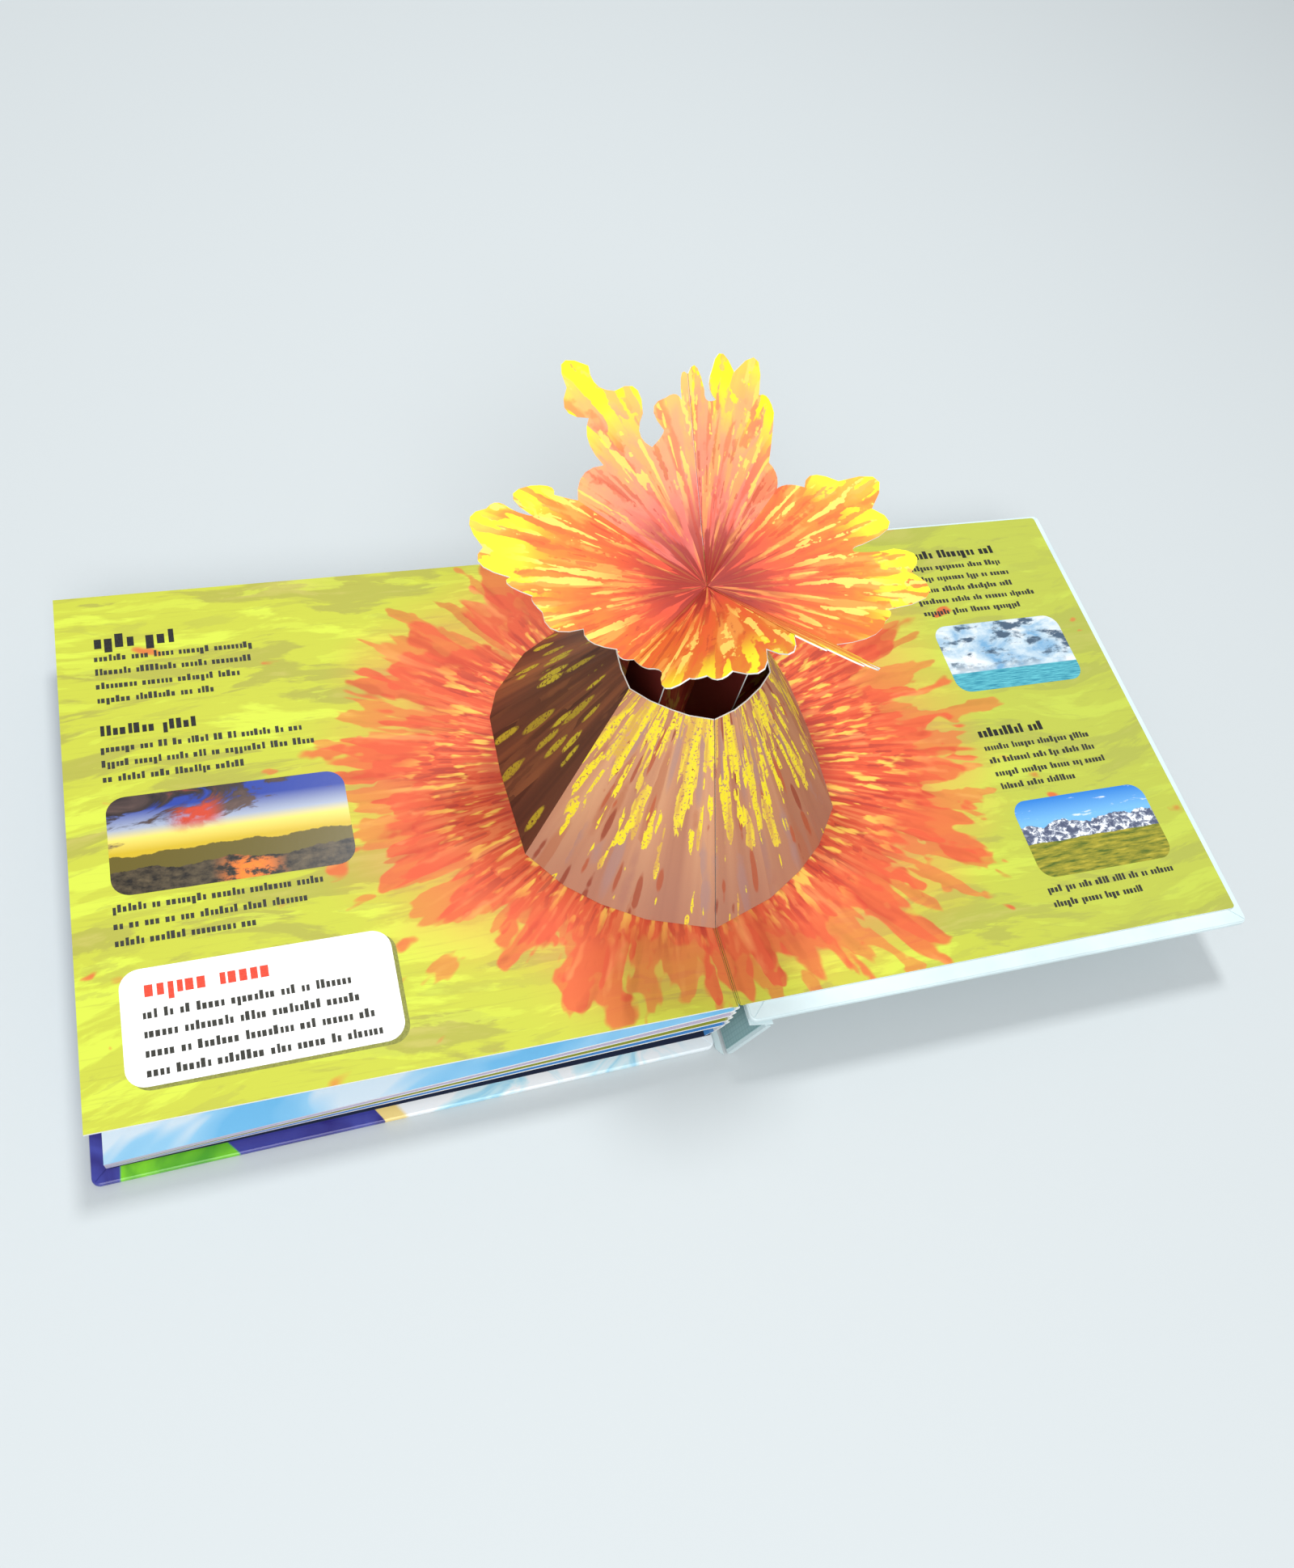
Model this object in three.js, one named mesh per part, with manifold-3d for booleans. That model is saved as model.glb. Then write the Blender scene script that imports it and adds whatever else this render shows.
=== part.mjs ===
// A hardback pop-up picture book that lies open at its last spread.
// The card leaves rest on the front cover, and a paper volcano stands over the gutter.
// Millimetres, +Z up, +X towards the back cover, +Y towards the head of the pages.
import * as THREE from "three";
import { mergeVertices } from "three/addons/utils/BufferGeometryUtils.js";
import Module from "manifold-3d";

const wasm = await Module();
wasm.setup();

// Page and case sizes
const pageWidth = 229.5;
const pageHeight = 220;
const pageCornerRadius = 1.5;
const coverHeight = 229;
const coverThickness = 3;
const coverCornerRadius = 3;
const coverEdgeRound = 0.7;
const coverOverhang = 3.5;
const boardToFold = 3.2;
const headOverhang = 2;
const wrapTurnIn = 14;
const wrapPaper = 0.3;
const mitreGap = 0.4;

// The opened book lies a little askew: its lower leaves and front cover drift towards the foot
const coverSkew = 3.8;
const leafSkew = 4;
const leafShortfall = 1.7;
const spineSlip = -1.4;

// Heights above the table
const spreadHeight = 34;
const spreadPaper = 0.6;

// Leaves of the block
const leafCount = 5;
const leafThickness = 1.1;
const leafFanGap = 0.15;
const lowestLeafRise = 9;
const foldBulge = 1;
const foldPaper = 0.6;
const foldInset = 1.2;
const glueReach = 6;

// Spine and joint strips
const spineThickness = 2.6;
const spineFootX = 1.9;
const spineFootHeight = 0.8;
const spineHeadX = 11.2;
const liningPaper = 0.4;
const liningMargin = 1.5;
const stripPaper = 0.6;

// Pop-up card
const cardThickness = 0.5;
const craterHeight = 65.3;
const burstCentreY = 12.7;
const burstCentreHeight = 97.1;
const strutX = 16;
const strutFrontY = -9;
const strutBackY = 22;

// Clearances
const fitGap = 0.3;
const glueGap = 0.1;

const coverCentreY = 0;
const pageCentreY = coverCentreY + (coverHeight - pageHeight) / 2 - headOverhang;
const coverOuterX = pageWidth + coverOverhang;
const coverInnerX = boardToFold;
const coverWidth = coverOuterX - coverInnerX;
const spreadUnderside = spreadHeight - spreadPaper;
const backBoardTop = spreadUnderside - glueGap;
const backBoardBottom = backBoardTop - coverThickness;

const colours = {
  coverBlue: 0x3a63b8,
  coverPale: 0xcfe5ea,
  lining: 0x7f9f9f,
  leafEdge: 0xf2f2ee,
  page: 0xb4cc48,
  rock: 0x9a6b52,
  lava: 0xf2a035,
  strutBrown: 0x4a1a16,
};

const card = (colour) => new THREE.MeshStandardMaterial({ color: colour, roughness: 0.6, metalness: 0 });

const book = new THREE.Group();

function place(name, geometry, colour) {
  const mesh = new THREE.Mesh(geometry, card(colour));
  mesh.name = name;
  book.add(mesh);
  return mesh;
}

// An outline drawn in X and Z, drawn out along Y between two places
function alongY(shape, fromY, toY) {
  const geometry = new THREE.ExtrudeGeometry(shape, { depth: toY - fromY, bevelEnabled: false, curveSegments: 5 });
  geometry.rotateX(Math.PI / 2);
  geometry.translate(0, toY, 0);
  return geometry;
}

function roundedRectangle(width, height, radius) {
  const shape = new THREE.Shape();
  const x = width / 2;
  const y = height / 2;
  shape.moveTo(-x + radius, -y);
  shape.lineTo(x - radius, -y);
  shape.absarc(x - radius, -y + radius, radius, -Math.PI / 2, 0);
  shape.lineTo(x, y - radius);
  shape.absarc(x - radius, y - radius, radius, 0, Math.PI / 2);
  shape.lineTo(-x + radius, y);
  shape.absarc(-x + radius, y - radius, radius, Math.PI / 2, Math.PI);
  shape.lineTo(-x, -y + radius);
  shape.absarc(-x + radius, -y + radius, radius, Math.PI, 1.5 * Math.PI);
  return shape;
}

// Moves each point of a geometry along Y by an amount that depends on where it lies
function slide(geometry, shiftAt) {
  const positions = geometry.attributes.position;
  for (let index = 0; index < positions.count; index += 1) {
    const shift = shiftAt(positions.getX(index), positions.getZ(index));
    positions.setY(index, positions.getY(index) + shift);
  }
  positions.needsUpdate = true;
  geometry.computeVertexNormals();
  return geometry;
}

// Boolean work

function toSolid(geometry) {
  const bare = geometry.index ? geometry.toNonIndexed() : geometry.clone();
  bare.deleteAttribute("normal");
  bare.deleteAttribute("uv");
  const merged = mergeVertices(bare, 1e-4);
  return new wasm.Manifold(
    new wasm.Mesh({
      numProp: 3,
      vertProperties: new Float32Array(merged.attributes.position.array),
      triVerts: new Uint32Array(merged.index.array),
    }),
  );
}

function toGeometry(solid) {
  const mesh = solid.getMesh();
  const geometry = new THREE.BufferGeometry();
  geometry.setAttribute("position", new THREE.BufferAttribute(new Float32Array(mesh.vertProperties), 3));
  geometry.setIndex(new THREE.BufferAttribute(new Uint32Array(mesh.triVerts), 1));
  geometry.computeVertexNormals();
  return geometry;
}

// Covers: a board with rounded corners and softened edges, its underside at bottomZ.
// The wrap paper is turned over its inside as four flaps that meet on the slant at the corners.

function boardGeometry(centreX, bottomZ) {
  const flatWidth = coverWidth - 2 * coverEdgeRound;
  const flatHeight = coverHeight - 2 * coverEdgeRound;
  const flatOutline = () => roundedRectangle(flatWidth, flatHeight, coverCornerRadius - coverEdgeRound);
  const board = new THREE.ExtrudeGeometry(flatOutline(), {
    depth: coverThickness - wrapPaper - 2 * coverEdgeRound,
    bevelThickness: coverEdgeRound,
    bevelSize: coverEdgeRound,
    bevelSegments: 2,
    curveSegments: 4,
  });
  board.translate(0, 0, coverEdgeRound);
  const flapOutline = flatOutline();
  flapOutline.holes.push(
    roundedRectangle(coverWidth - 2 * wrapTurnIn, coverHeight - 2 * wrapTurnIn, mitreGap),
  );
  const flaps = new THREE.ExtrudeGeometry(flapOutline, {
    depth: 2 * wrapPaper,
    bevelEnabled: false,
    curveSegments: 4,
  });
  flaps.translate(0, 0, coverThickness - 2 * wrapPaper);
  let solid = toSolid(board).add(toSolid(flaps));
  for (const sideX of [-1, 1]) {
    for (const sideY of [-1, 1]) {
      const mitre = new THREE.BoxGeometry(2 * wrapTurnIn, mitreGap, 2 * wrapPaper);
      mitre.rotateZ(Math.atan2(sideY, sideX));
      mitre.translate(
        sideX * (coverWidth - wrapTurnIn) / 2,
        sideY * (coverHeight - wrapTurnIn) / 2,
        coverThickness,
      );
      solid = solid.subtract(toSolid(mitre));
    }
  }
  const geometry = toGeometry(solid);
  geometry.translate(centreX, coverCentreY, bottomZ);
  return geometry;
}

const boardCentreX = coverInnerX + coverWidth / 2;
const coverShift = (x) => (coverSkew * (boardCentreX - Math.abs(x))) / coverWidth;
const leafShift = (x) => (-leafSkew * Math.abs(x)) / pageWidth;
place("front_cover", slide(boardGeometry(-boardCentreX, 0), coverShift), colours.coverBlue);
place("back_cover", boardGeometry(boardCentreX, backBoardBottom), colours.coverPale);

const lowerPageWidth = pageWidth - leafShortfall;
const pastedown = new THREE.ExtrudeGeometry(
  roundedRectangle(lowerPageWidth - coverInnerX, pageHeight, pageCornerRadius),
  { depth: foldPaper, bevelEnabled: false, curveSegments: 3 },
);
pastedown.translate(-(coverInnerX + lowerPageWidth) / 2, pageCentreY, coverThickness + glueGap);
place("front_pastedown", slide(pastedown, leafShift), colours.leafEdge);

const rightPage = new THREE.ExtrudeGeometry(
  roundedRectangle(pageWidth - fitGap / 2, pageHeight, pageCornerRadius),
  { depth: spreadPaper, bevelEnabled: false, curveSegments: 3 },
);
rightPage.translate((pageWidth + fitGap / 2) / 2, pageCentreY, spreadUnderside);
place("right_page", rightPage, colours.page);

// Page block: card leaves joined by a paper fold between each pair at the spine

const pageBottomY = pageCentreY - pageHeight / 2;
const pageTopY = pageCentreY + pageHeight / 2;
const stackFloor = coverThickness + glueGap + foldPaper + fitGap;

function leafTopAtSpine(leaf) {
  const lowest = stackFloor + lowestLeafRise;
  return spreadHeight - (leaf * (spreadHeight - lowest)) / (leafCount - 1);
}

function leafTopAtEdge(leaf) {
  if (leaf === 0) return spreadHeight;
  return stackFloor + (leafCount - leaf) * leafThickness + (leafCount - 1 - leaf) * leafFanGap;
}

function pageBlockShape() {
  const spineX = -fitGap / 2;
  const lowest = leafCount - 1;
  const shape = new THREE.Shape();
  shape.moveTo(spineX, spreadHeight);
  shape.lineTo(-pageWidth, spreadHeight);
  for (let leaf = 0; leaf < lowest; leaf += 1) {
    const edgeX = leaf === 0 ? -pageWidth : -lowerPageWidth;
    const underSpine = leafTopAtSpine(leaf) - leafThickness;
    const nextTop = leafTopAtSpine(leaf + 1);
    shape.lineTo(edgeX, leafTopAtEdge(leaf) - leafThickness);
    shape.lineTo(spineX - foldInset, underSpine);
    shape.quadraticCurveTo(spineX + foldBulge, (underSpine + nextTop) / 2, spineX - foldInset, nextTop);
    shape.lineTo(-lowerPageWidth, leafTopAtEdge(leaf + 1));
  }
  // The lowest leaf's paper runs down and inwards to the cover
  const lowestUnder = leafTopAtSpine(lowest) - leafThickness;
  const middle = (lowestUnder + stackFloor) / 2;
  shape.lineTo(-lowerPageWidth, leafTopAtEdge(lowest) - leafThickness);
  shape.lineTo(spineX - 2 * foldPaper, lowestUnder);
  shape.quadraticCurveTo(spineX - 3 * foldPaper, middle, spineX - glueReach - foldPaper, stackFloor);
  shape.lineTo(spineX - glueReach, stackFloor);
  shape.quadraticCurveTo(spineX - 2 * foldPaper, middle, spineX, lowestUnder);
  for (let leaf = lowest; leaf > 0; leaf -= 1) {
    const from = leafTopAtSpine(leaf);
    const to = leafTopAtSpine(leaf - 1) - leafThickness;
    shape.lineTo(spineX, from);
    shape.quadraticCurveTo(spineX + 2 * foldBulge + foldPaper, (from + to) / 2, spineX, to);
  }
  return shape;
}

const underTopLeaf = spreadHeight - 1.5 * leafThickness;
place(
  "page_block",
  slide(alongY(pageBlockShape(), pageBottomY, pageTopY), (x, z) => (z > underTopLeaf ? 0 : leafShift(x))),
  colours.leafEdge,
);

// Spine board, its lining and the joint strips

const backStripBottom = backBoardBottom - fitGap - stripPaper;
const spineHeadHeight = backStripBottom - fitGap - spineThickness / 4;
const spineRun = new THREE.Vector2(spineHeadX - spineFootX, spineHeadHeight - spineFootHeight);
const spineLength = spineRun.length();
const spineLean = Math.atan2(spineRun.x, spineRun.y);

// A bar seen from the foot of the book: along its length from 0, across it from 0, turned to the spine's lean
function leaningBar(fromAlong, toAlong, fromAcross, toAcross, radius) {
  const shape = new THREE.Shape();
  const corners = [
    [fromAlong, fromAcross], [fromAlong, toAcross], [toAlong, toAcross], [toAlong, fromAcross],
  ];
  const inwards = [[1, 1], [1, -1], [-1, -1], [-1, 1]];
  const points = [];
  corners.forEach(([along, across], index) => {
    const [signAlong, signAcross] = inwards[index];
    const first = [along, across + signAcross * radius];
    const second = [along + signAlong * radius, across];
    points.push(...(index % 2 === 0 ? [second, first] : [first, second]));
  });
  points.forEach(([along, across], index) => {
    const x = spineFootX + along * Math.sin(spineLean) + across * Math.cos(spineLean);
    const z = spineFootHeight + along * Math.cos(spineLean) - across * Math.sin(spineLean);
    if (index === 0) shape.moveTo(x, z);
    else shape.lineTo(x, z);
  });
  return shape;
}

const halfSpine = spineThickness / 2;
const coverBottomY = coverCentreY - coverHeight / 2;
const coverTopY = coverCentreY + coverHeight / 2;
place(
  "spine_board",
  alongY(
    leaningBar(0, spineLength, -halfSpine, halfSpine, coverEdgeRound),
    coverBottomY + spineSlip,
    coverTopY + spineSlip,
  ),
  colours.coverPale,
);
const liningFace = -halfSpine - glueGap;
place(
  "spine_lining",
  alongY(
    leaningBar(liningMargin, spineLength - liningMargin, liningFace - liningPaper, liningFace, liningPaper / 4),
    coverBottomY + spineSlip + liningMargin,
    coverTopY + spineSlip - liningMargin,
  ),
  colours.lining,
);

// A thin strip that follows a curve from one board to the next
function stripShape(from, bow, to) {
  const shape = new THREE.Shape();
  shape.moveTo(from.x, from.y);
  shape.quadraticCurveTo(bow.x, bow.y, to.x, to.y);
  shape.lineTo(to.x, to.y + stripPaper);
  shape.quadraticCurveTo(bow.x, bow.y + stripPaper, from.x, from.y + stripPaper);
  return shape;
}

// Each strip drifts from the lie of its board to that of the spine
function jointStrip(from, bow, to, shiftFrom) {
  const strip = alongY(stripShape(from, bow, to), coverBottomY, coverTopY);
  return slide(strip, (x) => {
    const share = (x - from.x) / (to.x - from.x);
    return shiftFrom + (spineSlip - shiftFrom) * share;
  });
}

const frontStripStart = -coverInnerX + fitGap;
const frontStripEnd = spineFootX - halfSpine - coverEdgeRound - fitGap;
place(
  "front_joint",
  jointStrip(
    new THREE.Vector2(frontStripStart, coverEdgeRound),
    new THREE.Vector2((frontStripStart + frontStripEnd) / 2, fitGap),
    new THREE.Vector2(frontStripEnd, coverEdgeRound),
    coverShift(frontStripStart),
  ),
  colours.coverPale,
);
place(
  "back_joint",
  jointStrip(
    new THREE.Vector2(coverInnerX, backStripBottom),
    new THREE.Vector2((coverInnerX + spineHeadX) / 2, backStripBottom),
    new THREE.Vector2(spineHeadX + halfSpine, backStripBottom),
    0,
  ),
  colours.coverPale,
);

// Volcano: a folded card cone, its foot on the pages and its rim at the crater

const coneFoot = [
  [0, -78], [26, -69.5], [42, -60], [54, -50], [66, -34], [68, 4], [67, 30], [62, 42], [46, 60], [26, 72], [0, 80],
];
const coneRim = [
  [0, -23.5], [9, -20.5], [15, -17], [22, -12], [28, -5.8], [29, 3], [28.7, 11], [27, 18], [20, 27], [11, 33], [0, 37],
];

// side is -1 for the left page and 1 for the right page
function coneHalf(side) {
  const standing = spreadHeight + fitGap;
  const rimZ = spreadHeight + craterHeight;
  const outer = [];
  coneFoot.forEach(([x, y], index) => {
    const [rimX, rimY] = coneRim[index];
    const outX = Math.max(x, fitGap / 2);
    const outRimX = Math.max(rimX, fitGap / 2);
    outer.push([
      new THREE.Vector3(side * outX, y + pageCentreY, standing),
      new THREE.Vector3(side * outRimX, rimY + pageCentreY, rimZ),
    ]);
  });
  const last = outer.length - 1;
  const inner = outer.map((pair, index) => {
    const before = outer[Math.max(index - 1, 0)][0];
    const after = outer[Math.min(index + 1, last)][0];
    const tangent = new THREE.Vector3().subVectors(after, before).setZ(0).normalize();
    const inward = new THREE.Vector3(-tangent.y, tangent.x, 0).multiplyScalar(side * cardThickness);
    if (index === 0 || index === last) inward.set(0, index === 0 ? cardThickness : -cardThickness, 0);
    return pair.map((point) => point.clone().add(inward));
  });
  const positions = [];
  const quad = (a, b, c, d) => {
    [a, b, c, a, c, d].forEach((point) => positions.push(point.x, point.y, point.z));
  };
  for (let index = 0; index < last; index += 1) {
    const next = index + 1;
    quad(outer[index][0], outer[next][0], outer[next][1], outer[index][1]);
    quad(inner[next][0], inner[index][0], inner[index][1], inner[next][1]);
    quad(outer[index][1], outer[next][1], inner[next][1], inner[index][1]);
    quad(outer[next][0], outer[index][0], inner[index][0], inner[next][0]);
  }
  quad(outer[0][0], outer[0][1], inner[0][1], inner[0][0]);
  quad(outer[last][1], outer[last][0], inner[last][0], inner[last][1]);
  if (side < 0) {
    for (let corner = 0; corner < positions.length; corner += 9) {
      for (let axis = 0; axis < 3; axis += 1) {
        const kept = positions[corner + axis];
        positions[corner + axis] = positions[corner + 3 + axis];
        positions[corner + 3 + axis] = kept;
      }
    }
  }
  const geometry = new THREE.BufferGeometry();
  geometry.setAttribute("position", new THREE.Float32BufferAttribute(positions, 3));
  return mergeVertices(geometry, 1e-5);
}

place("volcano_left", coneHalf(-1), colours.rock);
place("volcano_right", coneHalf(1), colours.rock);

// Burst: six petals of one folded card that spread from a centre over the crater

const burstCentre = new THREE.Vector3(0, burstCentreY + pageCentreY, spreadHeight + burstCentreHeight);
const backCrease = new THREE.Vector3(0, 45.9, 33.5).normalize();
const frontCrease = new THREE.Vector3(0, -58.2, 48).normalize();
const backSideCrease = new THREE.Vector3(113, 112, 16.6).normalize();
const frontSideCrease = new THREE.Vector3(109, -88.6, 3.5).normalize();

// Each outline starts at one crease: a rounded lobe's crest, then the notch after it, as angle and radius
const petals = {
  backLeft: {
    from: "backSide", to: "back", start: 55,
    lobes: [
      [8, 59, 15.8, 56], [17, 66, 21.2, 72], [17.5, 79, 21, 85], [23.5, 93, 28, 87], [27.5, 80, 31, 75],
      [36.5, 73, 36, 64], [32.5, 58, 34.8, 52], [39, 54, 41, 56], [39.5, 64, 44, 66.5], [47, 67, 48.7, 64.6],
      [49.5, 73, 51.2, 73],
    ],
  },
  sideLeft: {
    from: "frontSide", to: "backSide", start: 45,
    lobes: [
      [4, 48, 8, 46.5], [16, 52.5, 22, 52], [25, 62, 32, 63], [36, 65, 38, 64.5], [42, 72, 44.5, 71],
      [48, 81, 53, 80], [60, 86, 65, 81.5], [68, 79, 67.8, 74], [67.6, 70, 68.3, 65.6], [72, 75, 78.5, 71.6],
      [82, 66, 80, 63], [82, 58, 83.7, 55],
    ],
  },
  frontLeft: {
    from: "front", to: "frontSide", start: 74,
    lobes: [
      [4, 84, 7.2, 72.5], [11, 85, 16.6, 75.5], [20, 77, 23, 71], [26, 70, 28, 68], [34, 70, 38, 62],
      [40, 56, 46.5, 52.5], [52, 49.5, 59.8, 45],
    ],
  },
  backRight: {
    from: "backSide", to: "back", start: 53,
    lobes: [
      [4, 57, 9.8, 57.6], [13, 66, 16, 75], [20, 78, 23.2, 76.2], [27, 88, 33.8, 78.5], [39, 83, 42, 76],
      [43, 70, 40, 66], [44, 65, 45, 68.5], [48, 76, 51.2, 73],
    ],
  },
  sideRight: {
    from: "frontSide", to: "backSide", start: 50,
    lobes: [
      [9, 61, 16, 65], [19, 67, 20.7, 66], [27, 82, 34, 77], [39, 81, 42.4, 73.7], [42.6, 66, 44.3, 58.4],
      [46, 59, 46.5, 63], [50, 77, 57, 75], [64, 86, 69.9, 73], [77, 68, 76, 61], [81, 58, 83.7, 54],
    ],
  },
  frontRight: {
    from: "front", to: "frontSide", start: 74,
    lobes: [
      [5, 82, 9, 74], [15, 84, 20, 76], [27, 78, 31, 70], [37, 72, 42, 63], [46, 60, 51, 53], [55, 52, 59.8, 50],
    ],
  },
};

const creases = { back: backCrease, front: frontCrease, backSide: backSideCrease, frontSide: frontSideCrease };

function petalSolid(petal, side) {
  const turned = (name) => creases[name].clone().multiply(new THREE.Vector3(side, 1, 1));
  const along = turned(petal.from);
  const end = turned(petal.to);
  const normal = new THREE.Vector3().crossVectors(along, end).normalize();
  const across = new THREE.Vector3().crossVectors(normal, along);
  const spread = along.angleTo(end);
  const lastAngle = petal.lobes[petal.lobes.length - 1][2];
  const point = (angle, radius) => {
    const turn = (angle / lastAngle) * spread;
    return new THREE.Vector2(radius * Math.cos(turn), radius * Math.sin(turn));
  };
  const shape = new THREE.Shape();
  shape.moveTo(0, 0);
  let notch = point(0, petal.start);
  shape.lineTo(notch.x, notch.y);
  petal.lobes.forEach(([crestAngle, crestRadius, notchAngle, notchRadius]) => {
    const crest = point(crestAngle, crestRadius);
    const next = point(notchAngle, notchRadius);
    const pull = crest.clone().multiplyScalar(2).sub(notch.clone().add(next).multiplyScalar(0.5));
    shape.quadraticCurveTo(pull.x, pull.y, next.x, next.y);
    notch = next;
  });
  const geometry = new THREE.ExtrudeGeometry(shape, { depth: cardThickness, bevelEnabled: false, curveSegments: 5 });
  geometry.translate(0, 0, -cardThickness / 2);
  geometry.applyMatrix4(new THREE.Matrix4().makeBasis(along, across, normal));
  geometry.translate(burstCentre.x, burstCentre.y, burstCentre.z);
  return toSolid(geometry);
}

function gutterSlot() {
  const slot = new THREE.BoxGeometry(fitGap, 4 * craterHeight, 4 * craterHeight);
  slot.translate(0, burstCentre.y, burstCentre.z);
  return toSolid(slot);
}

// The two halves meet at the gutter fold, so each keeps to its own side of it
function burstHalf(names, side) {
  const joined = names.map((name) => petalSolid(petals[name], side)).reduce((sum, next) => sum.add(next));
  const otherSide = new THREE.BoxGeometry(2 * craterHeight, 4 * craterHeight, 4 * craterHeight);
  otherSide.translate(-side * craterHeight, burstCentre.y, burstCentre.z);
  return toGeometry(joined.subtract(gutterSlot()).subtract(toSolid(otherSide)));
}

place("burst_left", burstHalf(["backLeft", "sideLeft", "frontLeft"], -1), colours.lava);
place("burst_right", burstHalf(["backRight", "sideRight", "frontRight"], 1), colours.lava);

// Struts: card panels inside the cone that carry the burst

function strutGeometry(side) {
  const petalRise = (strutX * frontSideCrease.z) / frontSideCrease.x;
  const height = burstCentreHeight + petalRise - cardThickness / 2 - 2 * fitGap;
  const strut = new THREE.BoxGeometry(cardThickness, strutBackY - strutFrontY, height);
  strut.translate(
    side * strutX,
    pageCentreY + (strutBackY + strutFrontY) / 2,
    spreadHeight + fitGap + height / 2,
  );
  return strut;
}

place("strut_left", strutGeometry(-1), colours.strutBrown);
place("strut_right", strutGeometry(1), colours.strutBrown);

export default book;
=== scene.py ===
import math
import random

import bmesh
import bpy
from mathutils import Matrix, Vector


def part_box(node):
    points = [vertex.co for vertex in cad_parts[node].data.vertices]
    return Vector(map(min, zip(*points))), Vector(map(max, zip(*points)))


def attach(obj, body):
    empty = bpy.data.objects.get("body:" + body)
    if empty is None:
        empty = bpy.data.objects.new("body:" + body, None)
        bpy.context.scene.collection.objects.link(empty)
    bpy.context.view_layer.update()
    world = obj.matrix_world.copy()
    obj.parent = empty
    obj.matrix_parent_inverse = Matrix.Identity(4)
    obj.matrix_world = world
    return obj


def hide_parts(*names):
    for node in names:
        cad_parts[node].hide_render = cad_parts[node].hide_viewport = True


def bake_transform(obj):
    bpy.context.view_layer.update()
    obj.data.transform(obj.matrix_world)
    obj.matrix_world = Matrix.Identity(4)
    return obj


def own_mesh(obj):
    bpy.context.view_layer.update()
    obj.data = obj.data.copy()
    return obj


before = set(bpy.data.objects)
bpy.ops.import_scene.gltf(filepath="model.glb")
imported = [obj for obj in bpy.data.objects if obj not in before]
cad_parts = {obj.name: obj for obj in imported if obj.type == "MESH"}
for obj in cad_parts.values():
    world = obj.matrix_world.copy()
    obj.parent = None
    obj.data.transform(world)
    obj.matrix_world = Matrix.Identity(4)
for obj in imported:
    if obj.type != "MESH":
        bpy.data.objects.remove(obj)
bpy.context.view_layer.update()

MM = 0.001

# Camera
# A wide lens stands over the foot of the left page and looks down across the spread, as the photograph does.
# Its place is measured from the middle of the gutter on the open spread.
PHOTO_LONG_SIDE = 1939
SENSOR_LONG_SIDE = 36.0
FOCAL_PIXELS = 1547.7
PRINCIPAL_DROP = 10.5
page_low, page_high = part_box("right_page")
GUTTER_MIDDLE = Vector((0, (page_low.y + page_high.y) / 2, page_high.z))
CAMERA_FROM_GUTTER = Vector((-156.9, -242.5, 433.6)) * MM
CAMERA_YAW = math.radians(32.667)
CAMERA_PITCH = math.radians(58.031)
CAMERA_ROLL = math.radians(20.440)

look = Vector((
    math.sin(CAMERA_YAW) * math.cos(CAMERA_PITCH),
    math.cos(CAMERA_YAW) * math.cos(CAMERA_PITCH),
    -math.sin(CAMERA_PITCH),
))
level_right = Vector((math.cos(CAMERA_YAW), -math.sin(CAMERA_YAW), 0))
level_up = level_right.cross(look)
right = level_right * math.cos(CAMERA_ROLL) + level_up * math.sin(CAMERA_ROLL)
up = -level_right * math.sin(CAMERA_ROLL) + level_up * math.cos(CAMERA_ROLL)
camera = bpy.data.objects.new("camera", bpy.data.cameras.new("camera"))
camera.matrix_world = Matrix((
    (right.x, up.x, -look.x, GUTTER_MIDDLE.x + CAMERA_FROM_GUTTER.x),
    (right.y, up.y, -look.y, GUTTER_MIDDLE.y + CAMERA_FROM_GUTTER.y),
    (right.z, up.z, -look.z, GUTTER_MIDDLE.z + CAMERA_FROM_GUTTER.z),
    (0, 0, 0, 1),
))
camera.data.sensor_width = SENSOR_LONG_SIDE
camera.data.lens = FOCAL_PIXELS / PHOTO_LONG_SIDE * SENSOR_LONG_SIDE
camera.data.shift_y = PRINCIPAL_DROP / PHOTO_LONG_SIDE
camera.data.clip_start = 0.01
camera.data.clip_end = 20
bpy.context.scene.collection.objects.link(camera)
bpy.context.scene.camera = camera

# Studio
# A pale even sky, a wide soft lamp in front and a smaller one high up behind, over a pale paper floor.
bpy.context.scene.view_settings.view_transform = "Standard"
SKY_STRENGTH = 0.48
SKY_COLOUR = (0.96, 0.98, 1.0, 1)
FLOOR_COLOUR = (0.60, 0.645, 0.66, 1)
FLOOR_SIZE = 8.0
FLOOR_ROUGHNESS = 0.9

world = bpy.data.worlds.new("studio_sky")
world.use_nodes = True
world.node_tree.nodes["Background"].inputs["Color"].default_value = SKY_COLOUR
world.node_tree.nodes["Background"].inputs["Strength"].default_value = SKY_STRENGTH
bpy.context.scene.world = world


def soft_lamp(name, place, aim, size, watts):
    lamp = bpy.data.objects.new(name, bpy.data.lights.new(name, "AREA"))
    lamp.data.size = size
    lamp.data.energy = watts
    lamp.location = place
    lamp.rotation_mode = "QUATERNION"
    lamp.rotation_quaternion = (Vector(aim) - Vector(place)).to_track_quat("-Z", "Y")
    bpy.context.scene.collection.objects.link(lamp)


soft_lamp("window", place=(-0.3, -1.0, 1.35), aim=(0, 0, 0.05), size=1.0, watts=17)
soft_lamp("back_window", place=(0.14, 0.62, 1.5), aim=(0, 0, 0), size=0.28, watts=12)

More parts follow.
